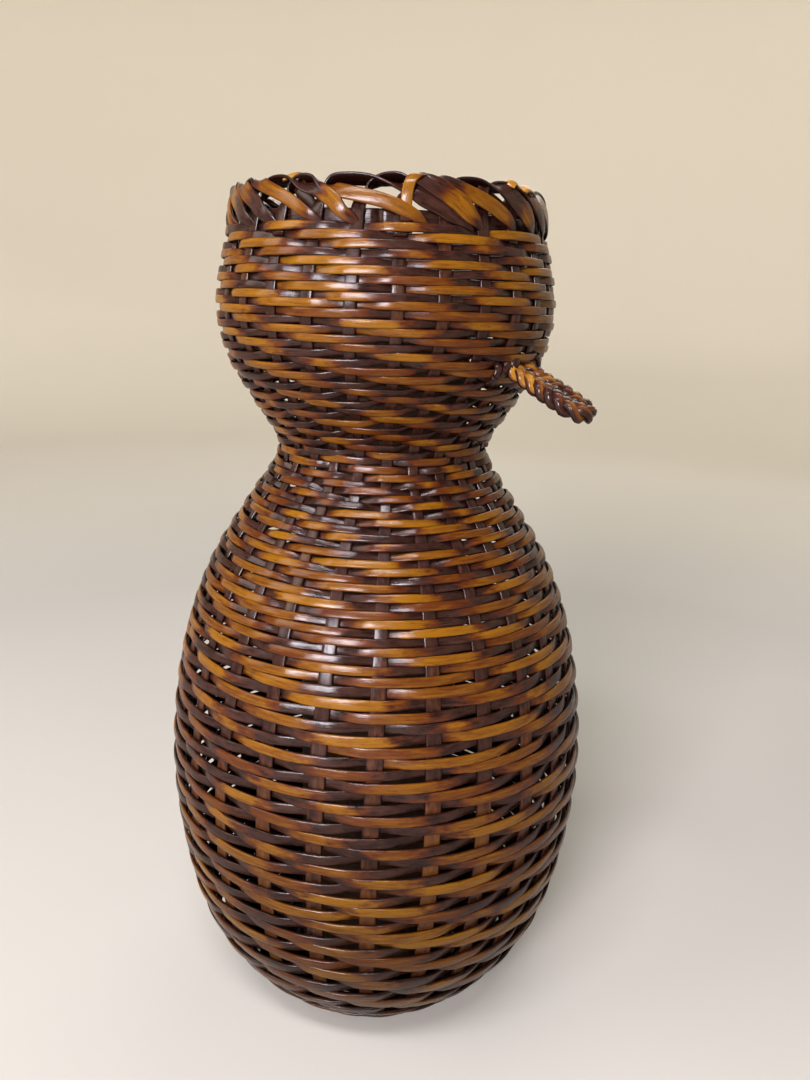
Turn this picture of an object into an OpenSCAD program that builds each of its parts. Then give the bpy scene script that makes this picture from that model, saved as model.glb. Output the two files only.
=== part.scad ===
// Woven gourd-shaped flower basket: flat stakes, wound wefts, a folded rim,
// a plaited hanging loop and a bamboo water tube that lifts out of the mouth.
// Millimetres, +Z up, origin at the middle of the underside.

/* [Gourd outline] */
// Overall height
height = 300; // [290:1:310]
// Outer radius of the base where the wall leaves the table
base_r = 45; // [42:0.5:47]
// Outer radius at the widest place of the belly
belly_r = 79.2; // [77:0.2:82]
// Outer radius at the tied-in waist
waist_r = 38; // [37:0.5:41]
// Outer radius at the widest place of the upper bulb
bulb_r = 58.6; // [57:0.2:60]
// Outer radius under the rim
rim_r = 53.6; // [52.5:0.1:54.5]

/* [Weave] */
// Number of upright stakes
stake_count = 26; // [20:1:27]
// Width of a stake on the wall
stake_w = 4.4; // [3:0.1:4.6]
// Thickness of a stake
stake_t = 1; // [0.6:0.1:1.2]
// Direction of the stake in the middle of the front, from +X towards +Y
front_stake = -89; // [-97:1:-83]
// Thickness of the layer of wefts outside the stakes
weft_t = 1.2; // [0.8:0.1:1.4]

/* [Rim] */
// Height of the folded border
border_h = 13; // [11:0.5:14]
// Width of a folded stake end, measured along Z
fold_w = 3.4; // [2.6:0.1:3.8]
// Length of a folded stake end, measured round the rim
fold_run = 17; // [14:0.5:18]

/* [Hanging loop] */
// Direction that the loop points in, from +X towards +Y
loop_azimuth = -36; // [-60:1:0]
// Height at which the loop leaves the wall
loop_z = 244.5; // [240:0.5:250]
// Angle by which the loop hangs below the horizontal
loop_droop = 27; // [15:1:35]
// Distance between the middles of the two legs
loop_gap = 12; // [11:0.5:14]
// Thickness of the plait
loop_d = 6; // [5:0.1:6.5]
// Distance from the gourd's axis to the middle of the loop's end bend
loop_reach = 73.5; // [70:0.5:78]

/* [Water tube] */
// Outer radius of the bamboo tube
tube_r = 31; // [28:0.5:32]
// Wall of the bamboo tube
tube_wall = 4; // [2.5:0.1:5]
// Height of the tube's top above the table
tube_top = 268; // [240:1:280]

/* [Hidden] */
$fn = 96;

play = 0.1;                     // air between pieces that touch
stake_play = 0.3;               // the same between wefts and stakes, whose curves are cut coarser
stake_step = 8;                 // spacing of a stake's points on the long curves
waist_step = 3;                 // and on the tight curve of the waist
border_z = height - border_h;   // where the wefts end and the folds begin
top_ring_h = 2.6;               // height of the arched tops of the folds
top_ring_w = 4.2;               // radial width of the arched tops
cross_r = 12;                   // the stakes cross inside this radius
cross_top = 2.9;
tube_foot = 3.3;                // underside of the tube
tube_floor = 6;                 // the culm's own joint closes the tube
span = 360 / stake_count;

// Heights at which one strand of weft gives way to the next
foot_end = 45;
belly_end = 152;
shoulder_end = 204;
neck_end = 236;
bulb_end = 263;

// The outline's knots, [height, radius]: base, belly, waist, bulb and rim,
// with shares of the way between them that set how full each curve is.
function between(a, b, share) = a + (b - a) * share;
knots = [
    [0, base_r],
    [15, between(base_r, belly_r, 0.39)],
    [34, between(base_r, belly_r, 0.71)],
    [60, between(base_r, belly_r, 0.91)],
    [94, belly_r],
    [126, between(waist_r, belly_r, 0.94)],
    [152, between(waist_r, belly_r, 0.80)],
    [175, between(waist_r, belly_r, 0.57)],
    [196, between(waist_r, belly_r, 0.25)],
    [214, waist_r],
    [229, between(waist_r, bulb_r, 0.38)],
    [245, between(waist_r, bulb_r, 0.83)],
    [263, bulb_r],
    [287, rim_r + 0.8],
    [height, rim_r - 1.6]
];

// Radius and slope of the outline at height z, by cubic pieces through the knots
function piece_at(z, i = 0) =
    (i >= len(knots) - 2 || z < knots[i + 1][0]) ? i : piece_at(z, i + 1);
function tangent(i) =
    i == 0 ? secant(0) :
    i == len(knots) - 1 ? secant(i - 1) :
    (knots[i + 1][1] - knots[i - 1][1]) / (knots[i + 1][0] - knots[i - 1][0]);
function secant(i) =
    (knots[i + 1][1] - knots[i][1]) / (knots[i + 1][0] - knots[i][0]);
function cubic(a, b, ta, tb, dz, s) =
    a * (2 * pow(s, 3) - 3 * pow(s, 2) + 1) + ta * dz * (pow(s, 3) - 2 * pow(s, 2) + s)
    + b * (3 * pow(s, 2) - 2 * pow(s, 3)) + tb * dz * (pow(s, 3) - pow(s, 2));
function radius_in(i, z) =
    let (dz = knots[i + 1][0] - knots[i][0])
    cubic(knots[i][1], knots[i + 1][1], tangent(i), tangent(i + 1), dz,
          (z - knots[i][0]) / dz);
function gourd_r(z) = radius_in(piece_at(z), z);
function slope(z) = (gourd_r(min(z + 0.5, height)) - gourd_r(max(z - 0.5, 0)))
    / (min(z + 0.5, height) - max(z - 0.5, 0));

// Point of the wall at height z, moved inwards by depth square to the wall
function wall_point(z, depth) =
    let (s = slope(z), n = sqrt(1 + s * s))
    [gourd_r(z) - depth / n, z + depth * s / n];
function wall_line(z0, z1, depth, step = 4) =
    let (steps = ceil((z1 - z0) / step))
    [for (i = [0 : steps]) wall_point(z0 + (z1 - z0) * i / steps, depth)];
function backwards(points) = [for (i = [len(points) - 1 : -1 : 0]) points[i]];

// A layer of the wall from height z0 to z1, between two depths
module wall_layer(z0, z1, outer, inner) {
    rotate_extrude()
        polygon(concat(wall_line(z0, z1, outer), backwards(wall_line(z0, z1, inner))));
}

// One strand of weft, wound course on course and drawn as the closed wall it makes
module weft(z0, z1) {
    wall_layer(z0, z1, 0, weft_t);
}

module weft_foot() {
    color("saddlebrown") weft(0, foot_end);
}

module weft_belly() {
    color("peru") weft(foot_end, belly_end);
}

module weft_shoulder() {
    color("sienna") weft(belly_end, shoulder_end);
}

module weft_neck() {
    color("saddlebrown") weft(shoulder_end, neck_end);
}

module weft_bulb() {
    color("peru") weft(neck_end, bulb_end);
}

module weft_collar() {
    color("peru") weft(bulb_end, border_z);
}

// The wefts under the floor, wound round the crossing out to the wall
module base_weave() {
    color("saddlebrown") difference() {
        cylinder(h = weft_t, r = base_r - 1);
        translate([0, 0, -1]) cylinder(h = weft_t + 2, r = cross_r);
    }
}

// The stakes cross each other in the middle of the floor
module base_cross() {
    color("sienna") translate([0, 0, 0.4])
        cylinder(h = cross_top - 0.4, r = cross_r - play);
}

// Side view of every stake: along the floor, then up the inside of the wefts
function stake_line(depth) = concat(
    [[cross_r, depth], [base_r - 1 - depth / 2, depth]],
    wall_line(2, shoulder_end - waist_step, depth, stake_step),
    wall_line(shoulder_end, neck_end, depth, waist_step),
    wall_line(neck_end + waist_step, height - top_ring_h - play, depth, stake_step));

// Top view of one stake, narrowed where they all run together
module stake_plan() {
    narrow_w = 2 * cross_r * sin(span / 2) * 0.85;
    full_r = 21;
    polygon([
        [cross_r - 1, -narrow_w / 2], [full_r, -stake_w / 2], [belly_r, -stake_w / 2],
        [belly_r, stake_w / 2], [full_r, stake_w / 2], [cross_r - 1, narrow_w / 2]
    ]);
}

module stakes() {
    outer = weft_t + stake_play;
    color("rosybrown") for (i = [0 : stake_count - 1])
        rotate([0, 0, front_stake + i * span]) intersection() {
            rotate([0, 0, -span / 2]) rotate_extrude(angle = span)
                polygon(concat(stake_line(outer), backwards(stake_line(outer + stake_t))));
            linear_extrude(height) stake_plan();
        }
}

// Side view of a folded stake end, extruded outwards through the border
module fold_plan() {
    low = border_z + play;
    high = height - top_ring_h - play;
    polygon([
        [-fold_run / 2, high - fold_w], [-fold_run / 2, high],
        [fold_run / 2, low + fold_w], [fold_run / 2, low]
    ]);
}

// Each stake end comes over the rim and slants down outside to tuck under the top weft
module rim_folds() {
    color("peru") for (i = [0 : stake_count - 1])
        rotate([0, 0, front_stake + (i + 0.5) * span]) intersection() {
            rotate([0, 0, -20]) rotate_extrude(angle = 40)
                polygon(concat(wall_line(border_z, height, 0),
                               backwards(wall_line(border_z, height, weft_t))));
            rotate([90, 0, 90]) linear_extrude(belly_r) fold_plan();
        }
}

// The arched tops of the folds, side by side round the mouth
module rim_top() {
    round_r = top_ring_h / 2;
    color("sienna") rotate_extrude() translate([rim_r - 3.4, height - round_r])
        union() {
            square([top_ring_w - top_ring_h, top_ring_h], center = true);
            for (side = [-1, 1])
                translate([side * (top_ring_w - top_ring_h) / 2, 0]) circle(r = round_r);
        }
}

// Places its children where the loop leaves the wall, +X outwards along the loop
module at_loop() {
    rotate([0, 0, loop_azimuth]) translate([gourd_r(loop_z), 0, loop_z])
        rotate([0, loop_droop, 0]) children();
}

// The gourd's outside as a full solid, to end pieces on it
module gourd_solid() {
    rotate_extrude()
        polygon(concat([[0, 0]], wall_line(0, height, -play / 2), [[0, height]]));
}

// A plait of cane, out and back
module hanging_loop() {
    leg = (loop_reach - gourd_r(loop_z)) / cos(loop_droop);
    color("saddlebrown") difference() {
        at_loop() {
            for (side = [-1, 1])
                translate([-8, side * loop_gap / 2, 0]) rotate([0, 90, 0])
                    cylinder(h = leg + 8, d = loop_d);
            translate([leg, 0, 0]) rotate([0, 0, -90]) rotate_extrude(angle = 180)
                translate([loop_gap / 2, 0]) circle(d = loop_d);
        }
        gourd_solid();
    }
}

// Where the plait's strands are laced into the wefts beside the legs
module loop_roots() {
    root_r = 1.7;
    root_l = 7;
    at_azimuths = [loop_azimuth - 13, loop_azimuth + 13];
    color("saddlebrown") for (a = at_azimuths)
        rotate([0, 0, a]) translate([gourd_r(loop_z) + root_r + play, 0, loop_z])
            rotate([90, 0, 0]) cylinder(h = root_l, r = root_r, center = true);
}

// A length of bamboo, closed below by its own joint
module water_tube() {
    color("dimgray") difference() {
        translate([0, 0, tube_foot]) cylinder(h = tube_top - tube_foot, r = tube_r);
        translate([0, 0, tube_foot + tube_floor])
            cylinder(h = tube_top, r = tube_r - tube_wall);
    }
}

base_cross();
base_weave();
weft_foot();
weft_belly();
weft_shoulder();
weft_neck();
weft_bulb();
weft_collar();
stakes();
rim_folds();
rim_top();
hanging_loop();
loop_roots();
water_tube();
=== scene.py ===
import math

import bpy
import numpy as np
from mathutils import Matrix, Vector


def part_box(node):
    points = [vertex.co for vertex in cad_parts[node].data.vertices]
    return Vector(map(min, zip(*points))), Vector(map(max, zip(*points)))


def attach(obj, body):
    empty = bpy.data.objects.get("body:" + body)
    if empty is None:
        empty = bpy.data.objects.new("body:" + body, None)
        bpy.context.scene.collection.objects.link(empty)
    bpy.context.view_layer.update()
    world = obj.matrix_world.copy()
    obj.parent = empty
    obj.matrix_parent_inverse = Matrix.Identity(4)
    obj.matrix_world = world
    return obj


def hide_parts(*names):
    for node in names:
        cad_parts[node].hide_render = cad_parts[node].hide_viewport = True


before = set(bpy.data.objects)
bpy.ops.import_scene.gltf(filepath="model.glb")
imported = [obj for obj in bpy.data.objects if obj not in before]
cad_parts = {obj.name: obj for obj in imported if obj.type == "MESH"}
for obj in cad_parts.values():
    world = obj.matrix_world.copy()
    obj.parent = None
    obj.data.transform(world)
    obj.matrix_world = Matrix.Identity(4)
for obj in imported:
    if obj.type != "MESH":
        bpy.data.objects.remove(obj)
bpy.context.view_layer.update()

# Everything below is worked out in millimetres and turned into metres when a mesh is made.
MM = 0.001

# ---------------------------------------------------------------- the gourd's outline
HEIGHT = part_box("rim_top")[1][2] / MM
BASE_R = 45.0
BELLY_R = 79.2
WAIST_R = 38.0
BULB_R = 58.6
RIM_R = 53.6
BORDER_Z = HEIGHT - 13.0


def between(a, b, share):
    return a + (b - a) * share


# [height, radius], the same knots as the CAD model's
KNOTS = np.array([
    [0, BASE_R],
    [15, between(BASE_R, BELLY_R, 0.39)],
    [34, between(BASE_R, BELLY_R, 0.71)],
    [60, between(BASE_R, BELLY_R, 0.91)],
    [94, BELLY_R],
    [126, between(WAIST_R, BELLY_R, 0.94)],
    [152, between(WAIST_R, BELLY_R, 0.80)],
    [175, between(WAIST_R, BELLY_R, 0.57)],
    [196, between(WAIST_R, BELLY_R, 0.25)],
    [214, WAIST_R],
    [229, between(WAIST_R, BULB_R, 0.38)],
    [245, between(WAIST_R, BULB_R, 0.83)],
    [263, BULB_R],
    [287, RIM_R + 0.8],
    [HEIGHT, RIM_R - 1.6],
])


def gourd_r(z):
    """Radius of the outline at height z, by cubic pieces through the knots."""
    zs, rs = KNOTS[:, 0], KNOTS[:, 1]
    slopes = np.empty(len(zs))
    slopes[1:-1] = (rs[2:] - rs[:-2]) / (zs[2:] - zs[:-2])
    slopes[0] = (rs[1] - rs[0]) / (zs[1] - zs[0])
    slopes[-1] = (rs[-1] - rs[-2]) / (zs[-1] - zs[-2])
    i = np.clip(np.searchsorted(zs, z, side="right") - 1, 0, len(zs) - 2)
    dz = zs[i + 1] - zs[i]
    s = (z - zs[i]) / dz
    return (
        rs[i] * (2 * s**3 - 3 * s**2 + 1)
        + slopes[i] * dz * (s**3 - 2 * s**2 + s)
        + rs[i + 1] * (3 * s**2 - 2 * s**3)
        + slopes[i + 1] * dz * (s**3 - s**2)
    )


LINE_STEP = 0.5


def outline():
    """The outside of the basket as one line, from the middle of the floor out and up to the rim:
    distance along it, radius, height, and its outward normal, with the corner at the foot eased."""
    floor_r = np.arange(0, BASE_R, LINE_STEP)
    wall_z = np.arange(0, HEIGHT + LINE_STEP / 2, LINE_STEP)
    r = np.concatenate([floor_r, gourd_r(wall_z)])
    z = np.concatenate([np.zeros(len(floor_r)), wall_z])
    run = np.concatenate([[0], np.cumsum(np.hypot(np.diff(r), np.diff(z)))])
    even = np.arange(0, run[-1], LINE_STEP)
    r, z = np.interp(even, run, r), np.interp(even, run, z)
    reach = 6
    ease = np.ones(2 * reach + 1) / (2 * reach + 1)
    r[reach:-reach] = np.convolve(r, ease, "valid")
    z[reach:-reach] = np.convolve(z, ease, "valid")
    run = np.concatenate([[0], np.cumsum(np.hypot(np.diff(r), np.diff(z)))])
    along_r, along_z = np.gradient(r, run), np.gradient(z, run)
    size = np.hypot(along_r, along_z)
    return run, r, z, along_z / size, -along_r / size


LINE_S, LINE_R, LINE_Z, LINE_NR, LINE_NZ = outline()
WALL_FROM = int(np.argmax(LINE_R > BASE_R - 1))


def s_at(z):
    """Distance along the outline at height z on the wall."""
    return float(np.interp(z, LINE_Z[WALL_FROM:], LINE_S[WALL_FROM:]))


def wall(s, azimuth, depth):
    """Point at distance s along the outline, in direction azimuth, moved inwards by depth."""
    r = np.interp(s, LINE_S, LINE_R) - np.interp(s, LINE_S, LINE_NR) * depth
    z = np.interp(s, LINE_S, LINE_Z) - np.interp(s, LINE_S, LINE_NZ) * depth
    return np.stack([r * np.cos(azimuth), r * np.sin(azimuth), z + 0 * r], axis=-1)


def wall_normal(s, azimuth):
    nr, nz = np.interp(s, LINE_S, LINE_NR), np.interp(s, LINE_S, LINE_NZ)
    return np.stack([nr * np.cos(azimuth), nr * np.sin(azimuth), nz + 0 * azimuth], axis=-1)


# ---------------------------------------------------------------- small helpers
def unit(v):
    return v / np.linalg.norm(v, axis=-1, keepdims=True)


def smooth(x):
    x = np.clip(x, 0, 1)
    return x * x * (3 - 2 * x)


NOISE_CELLS = 4096


def wander(x, every, seed):
    """Smooth noise from -1 to 1 along x, with a new value every so often."""
    values = np.random.default_rng(seed).uniform(-1, 1, NOISE_CELLS)
    cell = np.floor(x / every).astype(int)
    here, following = values[cell % NOISE_CELLS], values[(cell + 1) % NOISE_CELLS]
    return between(here, following, smooth(x / every - cell))


# Outline of a flat strip's cut end, going round: share of the half width, bevels off that edge,
# share of the half thickness, bevels off that face. The outer face is the first three points.
SECTION = np.array([
    [-0.55, 0, 1, 0], [0, 0, 1, 0], [0.55, 0, 1, 0],
    [1, 1.2, 1, 0], [1, 0.35, 1, 0.25], [1, 0, 1, 1],
    [1, 0, -1, 0.7], [1, 0.7, -1, 0], [0, 0, -1, 0],
    [-1, 0.7, -1, 0], [-1, 0, -1, 0.7],
    [-1, 0, 1, 1], [-1, 0.35, 1, 0.25], [-1, 1.2, 1, 0],
])
# How far the worn crest colour reaches each point of that outline; the low values on the edges and
# the inner face also darken them as painted shade, as if the neighbouring strips shaded them
FACE_WEAR_AND_SHADE = np.array([0, 0, 0, -0.04, -0.2, -0.5, -1, -3, -3, -3, -1, -0.5, -0.2, -0.04])
# The largest bevel, as shares of the strip's width and thickness
BEVEL_OF_WIDTH = 0.22
BEVEL_OF_THICKNESS = 0.45
# The crown is given for a strip this wide; wider ones bulge more, as if this many times as wide
CROWN_WIDTH = 3.3
CROWN_MOST = 1.2


def strip_rings(centre, outward, width, thick, bevel=0.34, crown=0.07, turn=0.0):
    """Rings of a flat strip along the points of centre, facing outward: its edges are bevelled,
    its outer face bulges by crown, and all of it is turned about its length by turn."""
    n = len(centre)
    width, thick, turn = (np.broadcast_to(v, n)[:, None] for v in (width, thick, turn))
    tangent = unit(np.gradient(centre, axis=0))
    normal = unit(outward - np.sum(outward * tangent, axis=1, keepdims=True) * tangent)
    across = np.cross(normal, tangent)
    normal, across = (
        normal * np.cos(turn) + across * np.sin(turn),
        across * np.cos(turn) - normal * np.sin(turn),
    )
    edge, off_edge, face, off_face = SECTION.T
    bevel = np.minimum(bevel, np.minimum(width * BEVEL_OF_WIDTH, thick * BEVEL_OF_THICKNESS))
    a = edge * width / 2 - np.sign(edge) * off_edge * bevel
    b = face * thick / 2 - np.sign(face) * off_face * bevel
    crown = crown * np.minimum(width / CROWN_WIDTH, CROWN_MOST) ** 2
    b = b + (face > 0) * (off_face == 0) * crown * (1 - edge**2)
    rings = centre[:, None] + across[:, None] * a[..., None] + normal[:, None] * b[..., None]
    return rings, a + (face < 0) * width


class Bundle:
    """Strips gathered into one piece. Each point keeps its grain place (millimetres along and
    across its strip, and a number of the strip's own), its wear, which also carries painted
    shade on the strips' edges and at the foot, and its tone."""

    def __init__(self):
        self.points, self.faces, self.grain, self.wear, self.tone = [], [], [], [], []
        self.count = 0

    def add(self, rings, across, wear, tone, seed):
        n, m = rings.shape[:2]
        steps = np.linalg.norm(np.diff(rings.mean(axis=1), axis=0), axis=1)
        along = np.concatenate([[0], np.cumsum(steps)])[:, None] + 0 * across
        grain = np.stack([along, across, np.full((n, m), seed)], axis=-1)
        self.points.append(rings.reshape(-1, 3))
        self.grain.append(grain.reshape(-1, 3))
        self.wear.append(np.broadcast_to(wear, (n, m)).reshape(-1))
        self.tone.append(np.broadcast_to(tone, (n, m)).reshape(-1))
        i, j = np.meshgrid(np.arange(n - 1), np.arange(m), indexing="ij")
        k = (j + 1) % m
        quads = np.stack([i * m + j, (i + 1) * m + j, (i + 1) * m + k, i * m + k], axis=-1)
        self.faces += (quads.reshape(-1, 4) + self.count).tolist()
        self.faces.append([self.count + x for x in range(m)])
        self.faces.append([self.count + (n - 1) * m + x for x in reversed(range(m))])
        self.count += n * m

    def strip(self, centre, outward, width, thick, wear=-1.0, tone=0.5, seed=0.0, **shape):
        rings, across = strip_rings(centre, outward, width, thick, **shape)
        # The outline's wear values lower the edges and inner face: painted shade towards the darkest
        # colour
        wear = np.broadcast_to(wear, len(centre))[:, None] + FACE_WEAR_AND_SHADE[None, :]
        tone = np.broadcast_to(tone, len(centre))[:, None] + 0 * FACE_WEAR_AND_SHADE[None, :]
        self.add(rings, across, wear, tone, seed)

    def build(self, name, material, body, slot, *nodes):
        mesh = bpy.data.meshes.new(name)
        points = np.concatenate(self.points)
        points[:, 2] = np.maximum(points[:, 2], 0)
        mesh.from_pydata((points * MM).tolist(), [], self.faces)
        for label, kind, field, parts in (
            ("grain", "FLOAT_VECTOR", "vector", self.grain),
            ("wear", "FLOAT", "value", self.wear),
            ("tone", "FLOAT", "value", self.tone),
        ):
            layer = mesh.attributes.new(label, kind, "POINT")
            layer.data.foreach_set(field, np.concatenate(parts).astype(np.float32).ravel())
        mesh.shade_smooth()
        mesh.materials.append(material)
        piece = bpy.data.objects.new(name, mesh)
        bpy.context.collection.objects.link(piece)
        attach(piece, body)
        if nodes:
            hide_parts(*nodes)
        return piece


# ---------------------------------------------------------------- materials
# The lacquer where it is rubbed most, where less, where whole, and where thickest; the last is also
# the painted shade on the strips' edges and inner faces
CREST = (0.138, 0.054, 0.0015, 1)
RUST = (0.050, 0.0105, 0.0015, 1)
DARK = (0.026, 0.0092, 0.0062, 1)
DEEP = (0.007, 0.0016, 0.001, 1)
# The stakes are rubbed to a duller amber than the wefts, and the loop to a paler one
STAKE_CREST = (0.115, 0.046, 0.007, 1)
STAKE_RUST = (0.050, 0.015, 0.005, 1)
PLAIT_CREST = (0.27, 0.125, 0.012, 1)
PLAIT_RUST = (0.075, 0.022, 0.005, 1)
# Painted shade at the foot: what is left of each colour there, and the heights in
# metres where that darkening begins to fade and is gone
FOOT_SHADE = (0.56, 0.61, 0.50)
FOOT_SHADE_HEIGHTS = (0.03, 0.13)
# Depth of the lacquer's grain, in metres
RELIEF = 0.00018
# The smoked culm: between its fibres, along them, and where it is worn
SMOKE = (0.012, 0.008, 0.006, 1)
CULM = (0.05, 0.03, 0.018, 1)
CULM_WORN = (0.075, 0.045, 0.024, 1)


class Shader:
    """A Principled material with short calls for its nodes."""

    def __init__(self, name, **sockets):
        self.material = bpy.data.materials.new(name)
        self.material.use_nodes = True
        self.tree = self.material.node_tree
        self.surface = self.tree.nodes["Principled BSDF"]
        for socket, value in sockets.items():
            self.surface.inputs[socket.replace("_", " ")].default_value = value

    def node(self, kind, **settings):
        made = self.tree.nodes.new("ShaderNode" + kind)
        for key, value in settings.items():
            setattr(made, key, value)
        return made

    def put(self, socket, value):
        if isinstance(value, bpy.types.NodeSocket):
            self.tree.links.new(value, socket)
        else:
            socket.default_value = value

    def attribute(self, name, output="Fac"):
        return self.node("Attribute", attribute_name=name).outputs[output]

    def maths(self, operation, a, b):
        made = self.node("Math", operation=operation)
        self.put(made.inputs[0], a)
        self.put(made.inputs[1], b)
        return made.outputs[0]

    def scaled(self, vector, sizes):
        made = self.node("VectorMath", operation="MULTIPLY")
        self.put(made.inputs[0], vector)
        made.inputs[1].default_value = sizes
        return made.outputs[0]

    def noise(self, vector, sizes, detail=3.0, roughness=0.55):
        made = self.node("TexNoise")
        self.put(made.inputs["Vector"], self.scaled(vector, sizes))
        made.inputs["Scale"].default_value = 1.0
        made.inputs["Detail"].default_value = detail
        made.inputs["Roughness"].default_value = roughness
        return made.outputs["Fac"]

    def span(self, value, low, high, to_low=0.0, to_high=1.0):
        made = self.node("MapRange")
        self.put(made.inputs["Value"], value)
        for socket, number in zip(
            ("From Min", "From Max", "To Min", "To Max"), (low, high, to_low, to_high), strict=True
        ):
            made.inputs[socket].default_value = number
        return made.outputs["Result"]

    def mix(self, share, a, b):
        made = self.node("Mix", data_type="RGBA")
        self.put(made.inputs["Factor"], share)
        self.put(made.inputs["A"], a)
        self.put(made.inputs["B"], b)
        return made.outputs["Result"]

    def bump(self, height, strength, distance, socket="Normal"):
        made = self.node("Bump")
        made.inputs["Strength"].default_value = strength
        made.inputs["Distance"].default_value = distance
        self.put(made.inputs["Height"], height)
        self.put(self.surface.inputs[socket], made.outputs["Normal"])


def lacquered(name, crest, rust, roughness):
    """Lacquered bamboo: dusky brown, rubbed through rust to amber where wear is above nought,
    with an edge that runs out in streaks along the grain. A noise's sizes are its cells for each
    millimetre along the strip and across it, and from one strip to the next."""
    s = Shader(name, Coat_Weight=0.32, Coat_Roughness=0.12, Specular_IOR_Level=0.04)
    grain = s.attribute("grain", "Vector")
    wear = s.attribute("wear")
    tone = s.attribute("tone")
    streaks = s.noise(grain, (0.07, 2.6, 3.1), detail=4.0)
    fibres = s.noise(grain, (0.09, 5.0, 1.7), detail=5.0, roughness=0.7)
    specks = s.noise(grain, (0.5, 2.4, 4.1), detail=4.0, roughness=0.7)
    blotch = s.noise(grain, (0.22, 0.5, 5.3), detail=2.0)
    ragged = s.span(streaks, 0.2, 0.8, -0.2, 0.2)
    patch = s.span(blotch, 0.25, 0.75, -0.35, 0.35)
    edge = s.maths("ADD", wear, s.maths("ADD", ragged, patch))
    smudge = s.noise(grain, (0.11, 0.9, 2.3), detail=3.0)
    fine = s.span(fibres, 0.3, 0.7)
    shade = s.maths("ADD", s.maths("ADD", fine, tone), s.span(smudge, 0.25, 0.75, -0.5, 0.5))
    amber = s.mix(s.span(shade, 0.4, 1.6), rust, crest)
    amber = s.mix(s.span(specks, 0.42, 0.3, 0.0, 0.75), amber, DEEP)
    amber = s.mix(s.span(edge, 0.05, 0.5), rust, amber)
    # Painted shade: the strips' edges and inner faces, whose wear is lowest, are pushed towards the
    # darkest brown
    shaded_sides = s.span(wear, -1.7, -0.95, -0.5, 0.0)
    cover_and_shade = s.maths("ADD", s.maths("ADD", blotch, shaded_sides), s.maths("MULTIPLY", fine, 0.5))
    brown = s.mix(s.span(cover_and_shade, 0.48, 0.92), DEEP, DARK)
    colour = s.mix(s.span(edge, -0.28, 0.12), brown, amber)
    height = s.node("SeparateXYZ")
    s.put(height.inputs[0], s.node("TexCoord").outputs["Object"])
    # Painted shade: every colour is darkened towards the foot, fading out above it, as if less light
    # reached there
    shaded_at_foot = s.scaled(colour, FOOT_SHADE)
    clean = s.span(height.outputs["Z"], *FOOT_SHADE_HEIGHTS)
    s.put(s.surface.inputs["Base Color"], s.mix(clean, shaded_at_foot, colour))
    gloss = s.span(cover_and_shade, 0.5, 1.0, roughness - 0.06, roughness + 0.14)
    s.put(s.surface.inputs["Roughness"], gloss)
    relief = s.maths("ADD", fibres, s.maths("MULTIPLY", streaks, 0.8))
    relief = s.maths("ADD", relief, s.maths("MULTIPLY", smudge, 1.2))
    s.bump(relief, 0.5, RELIEF)
    s.bump(relief, 0.2, RELIEF, "Coat Normal")
    return s.material


def dark_culm():
    """Smoked bamboo culm: dark brown with fine upright fibres and a worn satin gloss."""
    s = Shader("dark_culm", Coat_Weight=0.25, Coat_Roughness=0.22, Specular_IOR_Level=0.1)
    grain = s.attribute("grain", "Vector")
    fibres = s.noise(grain, (0.02, 1.6, 1.0), detail=5.0)
    clouds = s.noise(grain, (0.03, 0.06, 1.0), detail=3.0)
    colour = s.mix(s.span(fibres, 0.35, 0.7), SMOKE, CULM)
    colour = s.mix(s.span(clouds, 0.4, 0.75), colour, CULM_WORN)
    s.put(s.surface.inputs["Base Color"], colour)
    s.put(s.surface.inputs["Roughness"], s.span(clouds, 0.3, 0.7, 0.34, 0.5))
    s.bump(fibres, 0.3, 0.0003)
    return s.material


# ---------------------------------------------------------------- stakes
STAKES = 26
SPAN = 2 * math.pi / STAKES
FRONT_STAKE = math.radians(-89)
STAKE_THICK = 1.0
STAKE_DEPTH = 1.85
STAKE_TOP_Z = BORDER_Z - 2.5
STAKE_FROM_S = 10.0
SEED = 26
# How far the stakes lean to one side as they climb: [height, degrees]
STAKE_LEAN = np.array([[0, -1.0], [100, 0.0], [170, 1.4], [290, 5.0]])
# Width on the wall: [height, width], and in the floor: [distance, width]
STAKE_WIDTH = np.array([
    [0, 4.2], [20, 4.9], [60, 5.5], [120, 5.4], [170, 4.4], [214, 3.5], [250, 3.8], [290, 4.2],
])
STAKE_FLOOR_WIDTH = np.array([[8, 1.7], [21, 4.2], [BASE_R, 4.2]])
# How far the lacquer is rubbed through: [height, wear]
STAKE_RUBBED = np.array([[0, 0.1], [95, 0.15], [125, -0.25], [160, -0.45], [300, -0.35]])


def stake_azimuth(k, s):
    """Direction of stake k at distance s, with its own slight sway."""
    z = np.interp(s, LINE_S, LINE_Z)
    lean = np.interp(z, *STAKE_LEAN.T)
    k = np.asarray(k)
    own = np.random.default_rng(SEED).uniform(-1, 1, (STAKES, 3))[k % STAKES]
    sway = own[..., 0] * np.cos(z / 60) + own[..., 1] * np.sin(z / 45) + own[..., 2]
    return FRONT_STAKE + k * SPAN + np.radians(lean + 0.45 * sway)


def stake_width(s):
    z = np.interp(s, LINE_S, LINE_Z)
    on_wall = np.interp(z, *STAKE_WIDTH.T)
    return np.where(s < BASE_R, np.interp(s, *STAKE_FLOOR_WIDTH.T), on_wall)


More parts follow.
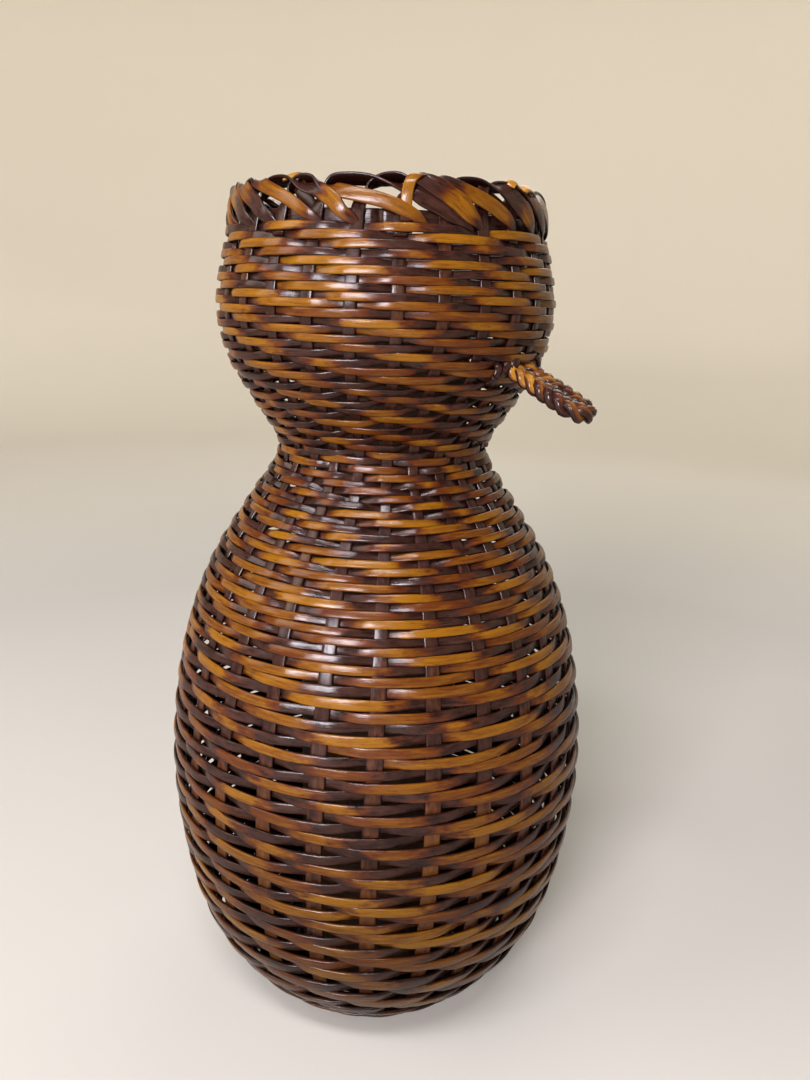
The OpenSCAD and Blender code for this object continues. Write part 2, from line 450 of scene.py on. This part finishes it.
def make_stakes(material):
    bundle = Bundle()
    s = np.arange(STAKE_FROM_S, s_at(STAKE_TOP_Z), 2.2)
    rubbed = np.interp(np.interp(s, LINE_S, LINE_Z), *STAKE_RUBBED.T)
    for k in range(STAKES):
        azimuth = stake_azimuth(k, s)
        depth = STAKE_DEPTH + 0.12 * wander(s, 7.0, SEED + k)
        bundle.strip(
            wall(s, azimuth, depth), wall_normal(s, azimuth), stake_width(s), STAKE_THICK,
            wear=rubbed + 0.35 * wander(s, 30.0, 90 + k), tone=0.4 + 0.3 * wander(s, 60.0, k),
            seed=k, turn=0.06 * wander(s, 25.0, 300 + k),
        )
    return bundle.build("stakes", material, "basket", "lacquered_stake", "stakes")


def make_base_cross(material):
    """The thirteen strips that make the stakes, thinned and stacked where they cross: lowest is
    the height of the first one, and stacked that of the last one above it."""
    bundle = Bundle()
    pairs = STAKES // 2
    reach, lowest, stacked = 10.6, 0.55, 2.0
    x = np.linspace(-reach, reach, 23)
    for j in range(pairs):
        azimuth = stake_azimuth(j, STAKE_FROM_S)
        layer = lowest + stacked * j / (pairs - 1)
        share = smooth((np.abs(x) - 5.5) / 5.0)
        z = between(layer, STAKE_DEPTH, share)
        centre = np.stack([x * np.cos(azimuth), x * np.sin(azimuth), z], axis=-1)
        down = np.broadcast_to([0.0, 0.0, -1.0], centre.shape)
        bundle.strip(centre, down, 1.7 + 0.5 * (1 - share), between(0.22, STAKE_THICK, share),
                     wear=-0.5, tone=0.3, seed=40 + j, bevel=0.08, crown=0.02)
    return bundle.build("base_cross", material, "basket", "lacquered_stake", "base_cross")


# ---------------------------------------------------------------- wefts
# Spacing of the courses along the outline: [distance, spacing]
COURSES = np.array([
    [0, 3.2],
    [s_at(2), 4.2],
    [s_at(9), 5.0],
    [s_at(40), 4.9],
    [s_at(50), 3.85],
    [s_at(148), 3.7],
    [s_at(160), 2.85],
    [s_at(200), 2.65],
    [s_at(208), 2.48],
    [s_at(HEIGHT), 2.46],
])
COURSE_STEP = np.interp(LINE_S, COURSES[:, 0], COURSES[:, 1])
LINE_TURNS = np.concatenate([[0], np.cumsum(LINE_STEP / COURSE_STEP[1:])])
# Share of the spacing that the strip fills: [height, share]
FILL = np.array([
    [0, 1.05], [32, 1.03], [50, 0.93], [130, 0.90], [150, 0.93], [165, 0.96], [206, 1.0],
    [276, 1.02], [286, 1.1],
])
# Thickness of the strip: [height, thickness]
WEFT_THICK = np.array([[0, 1.25], [40, 1.25], [55, 1.1], [150, 1.05], [210, 0.95], [300, 0.95]])
# How unruly the courses are: [height, millimetres]
UNRULY = np.array([
    [0, 0.14], [60, 0.16], [180, 0.14], [204, 0.30], [226, 0.30], [240, 0.15], [276, 0.12],
    [286, 0.05],
])
# How far the lacquer is rubbed through, and how amber it is there: [height, wear, tone]; the low
# values at the foot are painted shade that darkens it
RUBBED_AND_FOOT_SHADE = np.array([
    [0, -0.34, -0.35], [25, -0.3, -0.25], [45, -0.2, -0.15], [60, 0.02, 0.2], [80, -0.08, 0.05],
    [100, -0.28, -0.15], [125, -0.22, -0.15], [150, 0.0, 0.05], [185, 0.0, 0.05], [202, -0.18, -0.15],
    [234, -0.12, -0.1], [258, 0.05, 0.12], [300, 0.0, 0.15],
])
# The weft goes over and under in a round of this many stakes
OVER_UNDER = 3
# Points of the weft from one stake to the next
SAMPLES = 8
# Distance along the outline where the first course starts, under the floor
FIRST_COURSE_S = 12.5
# Share of a stake's half width that the weft lies flat behind, and the room it leaves there
FLAT_BEHIND = 0.7
CLEARANCE = 0.1
# How far a float bows out where the stakes are WIDE_SPACING apart, and rises over its neighbours
BOW = 0.4
WIDE_SPACING = 15
LIFT = 0.4
# Where a float is rubbed to amber, in spans from its left end, and how quickly that runs out
RUB_START = 0.45
RUB_END = 2.14
RUB_SLOPE = 1.4


def crossing_at(s):
    """Number of stakes that the weft has passed when it reaches distance s."""
    return float(np.interp(s, LINE_S, LINE_TURNS)) * STAKES


def weft_run(first, last):
    """The path of the weft from crossing first to last, with everything that varies along it.
    It climbs clockwise seen from above, over two stakes and under every third."""
    c = np.arange(first, last + 0.5 / SAMPLES, 1 / SAMPLES)
    s = np.interp(c / STAKES, LINE_TURNS, LINE_S)
    z = np.interp(s, LINE_S, LINE_Z)
    r = np.interp(s, LINE_S, LINE_R)
    k = np.floor(c).astype(int)
    azimuth = between(stake_azimuth(-k, s), stake_azimuth(-k - 1, s), c - k)
    pitch = np.interp(s, COURSES[:, 0], COURSES[:, 1])
    thick = np.interp(z, *WEFT_THICK.T)
    unruly = np.interp(z, *UNRULY.T)
    phase = np.mod(c, OVER_UNDER)
    floats = np.floor(c / OVER_UNDER).astype(int)
    own = np.random.default_rng(SEED + 1).normal(0, 1, (NOISE_CELLS, 6))[floats % NOISE_CELLS]

    spacing = r * SPAN
    half_stake = stake_width(s) / 2 / spacing
    near = np.minimum(phase, OVER_UNDER - phase)
    flat = FLAT_BEHIND * half_stake
    out = smooth((near - flat) / (1 - 2 * flat))
    behind = STAKE_DEPTH + STAKE_THICK / 2 + CLEARANCE + thick / 2
    bow = BOW * np.sin(math.pi * np.clip(phase - 1, 0, 1))
    depth = between(behind, thick / 2, out) - bow * np.minimum(spacing / WIDE_SPACING, 1)

    lift = LIFT * np.clip((pitch - 1.6) / 2, 0.3, 1) * smooth((z - 25) / 40)
    raised = smooth(1 - phase / 1.15) + 0.3 * smooth((phase - 2.4) / 0.6)
    shift = lift * raised + unruly * (wander(c, 1.7, 11) + 1.2 * wander(c, 9.0, 12))
    fill = np.interp(z, *FILL.T) * (1 + 0.05 * wander(c, 31.0, 13) + 0.04 * wander(c, 4.0, 14))
    turn = 0.05 * wander(c, 2.3, 15) + 0.04 * wander(c, 11.0, 16)
    turn = turn + unruly * 0.3 * wander(c, 1.4, 17)

    rightwards = OVER_UNDER - phase
    start = RUB_START + 0.24 * own[:, 0] + 0.35 * np.clip(own[:, 2] - 1.6, 0, 1)
    end = RUB_END + 0.32 * own[:, 1] - 0.9 * np.clip(own[:, 3] - 1.2, 0, 1)
    wear = RUB_SLOPE * np.minimum(rightwards - start, end - rightwards)
    # The height table's low wear and tone at the foot are painted shade, darkening it
    rubbed = np.interp(z, RUBBED_AND_FOOT_SHADE[:, 0], RUBBED_AND_FOOT_SHADE[:, 1]) + 0.12 * wander(c, 47.0, 18)
    tone = 0.5 + 0.38 * own[:, 4] + np.interp(z, RUBBED_AND_FOOT_SHADE[:, 0], RUBBED_AND_FOOT_SHADE[:, 2])
    return {
        "centre": wall(s + shift, azimuth, depth),
        "outward": wall_normal(s + shift, azimuth),
        "width": pitch * fill,
        "thick": thick,
        "turn": turn,
        "wear": np.clip(wear, -0.9, 0.9) + rubbed,
        "tone": np.clip(tone, 0, 1),
    }


# Each stretch of the wall: its CAD node, where it ends, and how many strands it is spliced from
STRETCHES = [
    ("base_weave", s_at(1.5), 2),
    ("weft_foot", s_at(45), 3),
    ("weft_belly", s_at(152), 8),
    ("weft_shoulder", s_at(204), 5),
    ("weft_neck", s_at(236), 3),
    ("weft_bulb", s_at(263), 3),
    ("weft_collar", s_at(BORDER_Z - 1.4), 3),
]


def tucked(crossing):
    """The nearest crossing where the weft lies behind a stake."""
    return OVER_UNDER * round(crossing / OVER_UNDER)


def make_wefts(material):
    """Every strand starts and ends tucked behind a stake."""
    here = tucked(crossing_at(FIRST_COURSE_S))
    for node, end_s, strands in STRETCHES:
        end = tucked(crossing_at(end_s))
        joins = [tucked(between(here, end, j / strands)) for j in range(strands + 1)]
        for j in range(strands):
            bundle = Bundle()
            bundle.strip(**weft_run(joins[j], joins[j + 1]), seed=joins[j] * 0.37)
            bundle.build(f"{node}_{j + 1}", material, "basket", "lacquered_weft", node)
        here = end


# ---------------------------------------------------------------- rim
# Folds near the front, by the number of their stake, counted to the right from the one in the
# middle; in spans between stakes and millimetres. over and land: where they leave
# the top and where they end, to the right of their stake; dip: how far below the rim they leave
# it; full: how wide they are there; rub: how much more they are rubbed; sink: how deep they lie
# below the others; clean: how far they run dark at first. The rest are drawn.
FRONT_FOLDS = {
    -6: (1.2, 2.8, 1.0, 5.4, 0.0, 0.0, 0.0),
    -5: (1.1, 3.0, 0.8, 3.9, 0.3, 0.0, 0.0),
    -4: (1.7, 2.9, 3.0, 4.8, 0.0, 0.0, 0.0),
    -3: (1.3, 3.45, 3.6, 4.2, 0.3, 0.0, 0.0),
    -2: (2.05, 3.6, 3.0, 8.2, -0.9, 0.9, 0.0),
    -1: (1.35, 2.9, 0.3, 6.0, 0.2, 0.0, 0.75),
    0: (0.85, 3.0, 0.3, 4.6, 0.0, 0.0, 0.5),
    1: (1.4, 2.9, 0.6, 6.6, -0.2, 0.0, 0.3),
}
FOLD_THICK = 0.85
# How far below the rim the folds end
BORDER_DEEP = 14.0


def fold_route(over, land, dip, bend):
    """Route of one folded stake end: spans to the right, height below the rim, depth, and how far
    its face looks outwards, up and to the left. It rises inside, bends to the right, runs along
    the top, leans over it and slants down outside."""
    early = between(bend, over, 0.5)
    return np.array([
        [0.00, 17.5, 1.85, 1.0, 0.0, 0.0],
        [0.02, 11.0, 2.0, 1.0, 0.0, 0.1],
        [bend * 0.2, 6.6, 2.8, 0.7, 0.1, 0.6],
        [bend * 0.45, 3.9, 3.2, -0.1, 0.5, 0.9],
        [bend, 2.0, 3.1, -0.6, 0.9, 0.5],
        [early, 1.3 + 0.3 * dip, 2.6, -0.6, 1.0, 0.0],
        [over, 1.2 + dip, 1.2, 0.5, 0.9, 0.0],
        [over + 0.35, 2.6 + 0.8 * dip, 0.15, 1.0, 0.45, 0.0],
        [between(over, land, 0.6), 6.9 + 0.3 * dip, -0.3, 1.0, 0.1, 0.0],
        [land - 0.25, 11.0, -0.1, 1.0, 0.0, 0.0],
        [land, 13.2, 1.1, 1.0, 0.0, 0.0],
        [land + 0.2, 15.5, 2.95, 1.0, 0.0, 0.0],
    ])


def spline(points, per_piece):
    """A smooth line through points, any number of columns wide."""
    padded = np.vstack([2 * points[0] - points[1], points, 2 * points[-1] - points[-2]])
    made = []
    t = np.linspace(0, 1, per_piece, endpoint=False)[:, None]
    for a, b, c, d in zip(padded, padded[1:], padded[2:], padded[3:], strict=False):
        made.append(0.5 * (2 * b + (c - a) * t + (2 * a - 5 * b + 4 * c - d) * t**2
                           + (3 * b - a - 3 * c + d) * t**3))
    made.append(points[-1:])
    return np.vstack(made)


def rim_place(k, share, drop, depth):
    """Point of the rim and its outward direction, share spans to the right of stake k."""
    azimuth = stake_azimuth(k, s_at(HEIGHT - BORDER_DEEP)) + SPAN * share
    s = np.interp(HEIGHT - drop, LINE_Z[WALL_FROM:], LINE_S[WALL_FROM:])
    centre = wall(s, azimuth, depth)
    centre[:, 2] = HEIGHT - drop
    return centre, np.stack([np.cos(azimuth), np.sin(azimuth), 0 * azimuth], axis=-1)


def make_rim(material):
    bundle = Bundle()
    rng = np.random.default_rng(SEED + 2)
    for k in range(STAKES):
        drawn = (
            rng.uniform(1.0, 1.7), rng.uniform(2.75, 3.2), rng.uniform(0, 1.6),
            rng.uniform(4.8, 6.4), 0, 0, 0,
        )
        near = k - STAKES if k > STAKES / 2 else k
        over, land, dip, full, rub, sink, clean = FRONT_FOLDS.get(near, drawn)
        line = spline(fold_route(over, land, dip, rng.uniform(0.35, 0.62)), 5)
        share = line[:, 0]
        sunk = sink * smooth((share - over + 0.4) / 0.4) * smooth((land - share) / 0.4)
        centre, radial = rim_place(k, share, line[:, 1], line[:, 2] + sunk)
        outward = facing(radial, line[:, 3:])
        stops = [0, 0.4, over, over + 0.5, land - 0.4, land, land + 0.2]
        width = np.interp(share, stops, [4.2, 5.2, 4.8, full, full * 0.95, 3.0, 1.6])
        begin = over + clean + rng.uniform(-0.1, 0.5)
        until = between(over, land, rng.uniform(0.45, 1.0))
        until = max(until, begin + 0.6 * (clean > 0))
        wear = np.clip(2.0 * np.minimum(share - begin, until - share), -0.9, 0.9) + rub
        on_top = smooth((share - 0.1) / 0.3) * smooth((over + 0.3 - share) / 0.3)
        wear = np.maximum(wear, between(-0.9, rng.uniform(-0.35, 0.25), on_top))
        bundle.strip(centre, outward, width, FOLD_THICK, wear=wear, tone=rng.uniform(0.2, 0.9),
                     seed=100 + k, bevel=0.3, crown=0.15)
    return bundle.build("rim_folds", material, "basket", "lacquered_fold", "rim_folds", "rim_top")


# Cut ends that stand out of the border: [fold they lie by, spans along it, length in spans,
# height below the rim, depth, tilt upwards]
RIM_TAILS = np.array([
    [-3, 0.0, 0.5, 1.0, 2.4, 0.15],
    [3, -0.12, 0.36, 0.9, 0.2, 0.8],
    [3, 0.35, 0.5, 1.5, -0.5, 0.4],
    [4, -0.3, 0.36, 1.9, 0.2, 0.6],
])
# Ends laid slantwise inside, under the folds: [stake, spans at the foot, height below the rim
# there, spans at the top, height below the rim there, wear]
RIM_LININGS = np.array([
    [-5, 0.95, 12.0, 0.25, 2.4, -0.9],
    [-3, 0.95, 12.0, 0.42, 3.2, -0.9],
    [2, -0.05, 3.2, 1.0, 9.5, -0.3],
    [3, 0.5, 4.0, 1.6, 11.0, -0.4],
])
# A stake that rises outside and bends over the top: [spans to the right of stake 0, height
# below the rim, depth, how far its face looks outwards, up and to the left]
RISER = np.array([
    [0.10, 13.5, 1.1, 1.0, 0.0, 0.0],
    [0.11, 10.0, 0.0, 1.0, 0.0, 0.1],
    [0.13, 6.0, -0.7, 1.0, 0.0, 0.2],
    [0.20, 2.6, -0.7, 1.0, 0.3, 0.3],
    [0.36, 0.8, 0.3, 0.5, 1.0, 0.2],
    [0.50, 1.2, 2.0, -0.2, 1.0, 0.1],
    [0.60, 3.0, 3.2, -0.8, 0.6, 0.1],
])
# The strip that runs round inside, below the rim
HOOP_DROP = 12.4
HOOP_DEPTH = 3.6
HOOP_WIDTH = 5.2
HOOP_THICK = 0.8


def facing(radial, looks):
    """Direction a strip's face looks, from how far it looks outwards, up and to the left."""
    up = np.array([0, 0, 1.0])
    return radial * looks[:, 0:1] + up * looks[:, 1:2] + np.cross(radial, up) * looks[:, 2:3]


def make_rim_tails(material):
    bundle = Bundle()
    t = np.linspace(0, 1, 9)
    for j, (k, share, length, drop, depth, tilt) in enumerate(RIM_TAILS):
        arch = 1.1 * tilt * np.sin(math.pi * t)
        below = drop - arch + 1.4 * (t - 0.5) ** 2
        centre, radial = rim_place(int(k), share + length * t, below, depth + 0 * t)
        outward = radial * (0.5 + 0.5 * t[:, None]) + np.array([0, 0, 1.0])
        bundle.strip(centre, outward, between(3.4, 2.4, t * tilt), 1.0, wear=0.9 - 0.8 * t, tone=0.8,
                     seed=150 + j, bevel=0.35, crown=0.2)
    return bundle.build("rim_tails", material, "basket", "lacquered_plait")


def make_rim_lining(material):
    """What closes the border from inside: a strip that runs round and a few slanting ends; and
    the stake that rises outside at the front."""
    bundle = Bundle()
    round_share = np.linspace(-0.5, STAKES - 0.5, STAKES * 5 + 1)
    drop = HOOP_DROP + 0.5 * wander(round_share, 3.1, 160)
    centre, radial = rim_place(0, round_share, drop, HOOP_DEPTH + 0 * round_share)
    bundle.strip(centre, radial, HOOP_WIDTH, HOOP_THICK, wear=-0.6, tone=0.3, seed=160, bevel=0.3)
    t = np.linspace(0, 1, 9)
    for j, (k, foot, low, top, high, wear) in enumerate(RIM_LININGS):
        share, below = between(foot, top, t), between(low, high, t)
        centre, radial = rim_place(int(k), share, below, 3.0 + 0 * t)
        bundle.strip(centre, radial, 5.0, 0.7, wear=wear, tone=0.3, seed=170 + j, bevel=0.3)
    line = spline(RISER, 5)
    centre, radial = rim_place(0, line[:, 0], line[:, 1], line[:, 2])
    wear = np.clip(0.18 * (12 - line[:, 1]), -0.9, 0.8)
    bundle.strip(centre, facing(radial, line[:, 3:]), 3.3, FOLD_THICK, wear=wear, tone=0.8,
                 seed=180, bevel=0.3, crown=0.12)
    return bundle.build("rim_lining", material, "basket", "lacquered_fold")


# ---------------------------------------------------------------- hanging loop
LOOP_AZIMUTH = math.radians(-36)
LOOP_Z = 244.5
LOOP_DROOP = math.radians(27)
# Distance from the axis where the bend starts, and distance between the legs
LOOP_REACH = 73.5
LOOP_GAP = 9.6


def loop_frame():
    """Where the loop leaves the wall: its foot, and its directions out, sideways and up."""
    flat = np.array([math.cos(LOOP_AZIMUTH), math.sin(LOOP_AZIMUTH), 0])
    up = np.array([0, 0, 1.0])
    root = gourd_r(LOOP_Z) * flat + LOOP_Z * up
    out = flat * math.cos(LOOP_DROOP) - up * math.sin(LOOP_DROOP)
    side = np.cross(up, flat)
    return root, out, side, np.cross(out, side)


def loop_line(step=0.5):
    """The loop's middle line, out along one leg, round the bend and back, at even steps."""
    root, out, side, up = loop_frame()
    leg = (LOOP_REACH - gourd_r(LOOP_Z)) / math.cos(LOOP_DROOP)
    half = LOOP_GAP / 2
    legs = np.arange(-4.0, leg, step)
    bend = np.linspace(0, math.pi, int(math.pi * half / step))[1:]
    x = np.concatenate([legs, leg + half * np.sin(bend), legs[::-1]])
    y = np.concatenate([-half + 0 * legs, -half * np.cos(bend), half + 0 * legs])
    return root + x[:, None] * out + y[:, None] * side, up


def make_loop(material):
    """Three thick flat strands plaited together: amber near the basket, dark further out."""
    bundle = Bundle()
    line, up = loop_line()
    run = np.concatenate([[0], np.cumsum(np.linalg.norm(np.diff(line, axis=0), axis=1))])
    tangent = unit(np.gradient(line, axis=0))
    wide = unit(np.cross(np.broadcast_to(up, line.shape), tangent))
    pitch, half_width, half_height = 11.6, 1.65, 1.0
    from_root = np.minimum(run, run[-1] - run)
    for strand in range(3):
        phase = 2 * math.pi * (run / pitch + strand / 3)
        sideways = half_width * np.sin(phase)[:, None]
        height = half_height * np.sin(2 * phase)[:, None]
        centre = line + wide * sideways + up * height
        outward = up - 0.5 * wide * np.cos(phase)[:, None]
        wear = np.interp(from_root, [6, 14, 18], [0.5, 0.35, -0.15])
        wear = 0.45 * wander(run, 6.0, 500 + strand) + wear
        tone = 0.5 + 0.4 * wander(run, 9.0, 520 + strand)
        far = smooth((from_root - 8) / 8)
        bundle.strip(centre, outward, between(3.8, 4.3, far), between(2.0, 2.4, far), wear=wear,
                     tone=tone, seed=200 + strand, crown=0.4, bevel=0.7)
    return bundle.build("hanging_loop", material, "basket", "lacquered_plait", "hanging_loop")


def make_loop_roots(material):
    """Lacings that hold the loop's strands, wrapped round the wefts beside and under each leg."""
    bundle = Bundle()
    turns = np.linspace(0, 2 * math.pi, 25)
    for side, lean in ((-1, 0.25), (1, -0.3)):
        for j in range(3):
            azimuth = LOOP_AZIMUTH + math.radians(10 * side + 3.1 * (j - 1))
            s = s_at(LOOP_Z + 1.5 * (j - 1)) + (3.2 - 0.4 * j) * np.sin(turns)
            depth = 1.5 + 2.1 * -np.cos(turns)
            azimuths = azimuth + lean * (0.06 + 0.05 * j) * np.sin(turns) + 0 * s
            centre = wall(s, azimuths, depth)
            middle = wall(s_at(LOOP_Z) + 0 * s, azimuths, 1.4 + 0 * s)
            bundle.strip(centre, centre - middle, 3.3, 1.3, wear=-0.9, tone=0.3,
                         seed=300 + 3 * side + j, crown=0.3, bevel=0.5)
    return bundle.build("loop_roots", material, "basket", "lacquered_plait", "loop_roots")


# ---------------------------------------------------------------- water tube
TUBE_WALL = 4.0
TUBE_FLOOR = 6.0
TUBE_LIP = 1.6
# Where the joint of the culm is, as a share of the tube's height
JOINT_AT = 0.47
# The visible tube is this much slimmer than the CAD one, to leave room for the joint's ridge
TUBE_SKIN = 0.5
TUBE_AROUND = 120


def tube_side(radius, foot, top):
    """Outside of the tube from foot to lip, with the ridge and the groove of the joint."""
    joint_z = between(foot, top, JOINT_AT)
    heights = np.concatenate([
        np.linspace(foot + 1.2, joint_z - 8, 24),
        joint_z + np.array([-5, -3, -1.8, -0.8, 0, 0.8, 1.8, 3, 5]),
        np.linspace(joint_z + 8, top - TUBE_LIP, 24),
    ])
    ridge = 0.45 * np.exp(-((heights - joint_z) / 1.3) ** 2)
    groove = 0.35 * np.exp(-((heights - joint_z - 3.2) / 1.2) ** 2)
    return np.stack([radius - TUBE_SKIN + (ridge - groove), heights], axis=-1)


def tube_outline(radius, foot, top):
    """Radius and height all the way from the middle of the foot, up outside and down inside."""
    inner, floor_z = radius - TUBE_WALL, foot + TUBE_FLOOR
    under = np.array([[inner / 2, foot], [radius - 2.2, foot], [radius - 0.9, foot + 0.4]])
    bend = np.linspace(0, math.pi, 9)
    outer = radius - TUBE_SKIN
    lip_r = (outer + inner) / 2 + (outer - inner) / 2 * np.cos(bend)
    lip_z = top - TUBE_LIP + TUBE_LIP * np.sin(bend)
    inside_z = np.linspace(top - TUBE_LIP, floor_z + 2, 22)[1:-1]
    well = np.array([
        [inner, floor_z + 2], [inner - 0.6, floor_z + 0.6], [inner - 2.2, floor_z],
        [inner / 2, floor_z],
    ])
    return np.vstack([
        under, tube_side(radius, foot, top)[:-1], np.stack([lip_r, lip_z], axis=-1),
        np.stack([0 * inside_z + inner, inside_z], axis=-1), well,
    ])


def make_tube(material):
    """A length of culm: its ring of a joint half way, a rounded lip and a closed foot."""
    low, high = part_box("water_tube")
    shape = tube_outline((high[0] - low[0]) / 2 / MM, low[2] / MM, high[2] / MM)
    azimuth = np.arange(TUBE_AROUND) * 2 * math.pi / TUBE_AROUND
    squash = 1 - 0.006 * (1 + np.cos(2 * azimuth + 0.7))
    rings = np.stack([
        shape[:, :1] * squash * np.cos(azimuth), shape[:, :1] * squash * np.sin(azimuth),
        shape[:, 1:] + 0 * azimuth,
    ], axis=-1)
    bundle = Bundle()
    bundle.add(rings, shape[:, :1] * azimuth, -1.0, 0.5, 1.0)
    return bundle.build("water_tube", material, "tube", "dark_culm", "water_tube")


# ---------------------------------------------------------------- stage, light and camera
# Everything from here on is in metres.
FLOOR_FLAT = 1.4
FLOOR_BEND = 0.9
WALL_HEIGHT = 1.7
STAGE_AROUND = 64
# The paper is paler further away: its colour near and far, and the distances
PAPER_NEAR = (0.36, 0.345, 0.31, 1)
PAPER_FAR = (0.83, 0.77, 0.63, 1)
PAPER_DISTANCES = (0.5, 2.0)


def pale_paper():
    s = Shader("pale_paper", Roughness=0.9)
    coordinates = s.node("TexCoord").outputs["Object"]
    away = s.node("VectorMath", operation="LENGTH")
    s.put(away.inputs[0], coordinates)
    clouds = s.span(s.noise(coordinates, (3.0, 3.0, 3.0)), 0.3, 0.7, -0.02, 0.02)
    share = s.maths("ADD", s.span(away.outputs["Value"], *PAPER_DISTANCES), clouds)
    s.put(s.surface.inputs["Base Color"], s.mix(share, PAPER_NEAR, PAPER_FAR))
    return s.material


def make_stage():
    """A pale floor that curves up into a wall all round."""
    bend = np.linspace(0, math.pi / 2, 12)
    edge = FLOOR_FLAT + FLOOR_BEND
    r = np.concatenate([[0.0, 0.3, 0.8], FLOOR_FLAT + FLOOR_BEND * np.sin(bend), [edge]])
    z = np.concatenate([[0.0, 0.0, 0.0], FLOOR_BEND * (1 - np.cos(bend)), [WALL_HEIGHT]])
    azimuth = np.arange(STAGE_AROUND) * 2 * math.pi / STAGE_AROUND
    points = np.stack([
        r[:, None] * np.cos(azimuth), r[:, None] * np.sin(azimuth), z[:, None] + 0 * azimuth,
    ], axis=-1).reshape(-1, 3)
    i, j = np.meshgrid(np.arange(len(r) - 1), np.arange(STAGE_AROUND), indexing="ij")
    k = (j + 1) % STAGE_AROUND
    here, above = i * STAGE_AROUND, (i + 1) * STAGE_AROUND
    faces = np.stack([here + j, here + k, above + k, above + j], axis=-1).reshape(-1, 4)
    mesh = bpy.data.meshes.new("studio_floor")
    mesh.from_pydata(points.tolist(), [], faces.tolist())
    mesh.shade_smooth()
    mesh.materials.append(pale_paper())
    floor = bpy.data.objects.new("studio_floor", mesh)
    bpy.context.collection.objects.link(floor)


WARM = (1.0, 0.97, 0.92)
COOL = (0.96, 0.94, 1.0)
# Soft lamps that look at the middle of the object: [name, azimuth, elevation, distance, width,
# height, power, colour], with azimuth 0 in front and 90 to the right
LAMPS = [
    ("window", -21, 17, 1.25, 0.44, 0.32, 34, (0.96, 0.92, 1.0)),
    ("window_side", -70, 30, 1.3, 0.5, 0.9, 9, WARM),
    ("overhead", -14, 58, 1.3, 0.7, 0.16, 18, COOL),
    ("fill_behind", 165, 38, 1.4, 1.0, 0.8, 7, WARM),
]
LAMPS_LOOK_AT = np.array([0, 0, 0.17])


def make_lamp(name, azimuth, elevation, distance, width, height, power, colour):
    lamp = bpy.data.lights.new(name, "AREA")
    lamp.shape = "RECTANGLE"
    lamp.size, lamp.size_y = width, height
    lamp.energy = power
    lamp.color = colour
    light = bpy.data.objects.new(name, lamp)
    a, e = math.radians(azimuth), math.radians(elevation)
    back = np.array([math.sin(a) * math.cos(e), -math.cos(a) * math.cos(e), math.sin(e)])
    light.location = LAMPS_LOOK_AT + back * distance
    light.rotation_mode = "QUATERNION"
    light.rotation_quaternion = Vector(-back).to_track_quat("-Z", "Y")
    light.visible_camera = False
    bpy.context.collection.objects.link(light)


def make_world():
    world = bpy.data.worlds.new("soft_room")
    world.use_nodes = True
    background = world.node_tree.nodes["Background"]
    background.inputs["Color"].default_value = (1.0, 0.95, 0.88, 1)
    background.inputs["Strength"].default_value = 0.2
    bpy.context.scene.world = world


# Where the photograph was taken from, worked out from the outline and the rows of weft
CAMERA_AT = (0.0089, -0.3105, 0.2639)
CAMERA_PITCH = math.radians(15.5)
CAMERA_ROLL = math.radians(1.6)


def make_camera():
    data = bpy.data.cameras.new("camera")
    data.sensor_width = 36.0
    data.lens = 28.33
    camera = bpy.data.objects.new("camera", data)
    camera.location = CAMERA_AT
    camera.rotation_mode = "QUATERNION"
    tilt = Matrix.Rotation(math.pi / 2 - CAMERA_PITCH, 4, "X")
    camera.rotation_quaternion = (tilt @ Matrix.Rotation(CAMERA_ROLL, 4, "Z")).to_quaternion()
    bpy.context.collection.objects.link(camera)
    bpy.context.scene.camera = camera


weft_material = lacquered("lacquered_weft", CREST, RUST, 0.3)
stake_material = lacquered("lacquered_stake", STAKE_CREST, STAKE_RUST, 0.34)
fold_material = lacquered("lacquered_fold", CREST, RUST, 0.28)
plait_material = lacquered("lacquered_plait", PLAIT_CREST, PLAIT_RUST, 0.26)

make_stakes(stake_material)
make_base_cross(stake_material)
make_wefts(weft_material)
make_rim(fold_material)
make_rim_tails(plait_material)
make_rim_lining(fold_material)
make_loop(plait_material)
make_loop_roots(plait_material)
make_tube(dark_culm())
make_stage()
make_world()
for lamp_settings in LAMPS:
    make_lamp(*lamp_settings)
make_camera()
bpy.context.scene.view_settings.view_transform = "Standard"
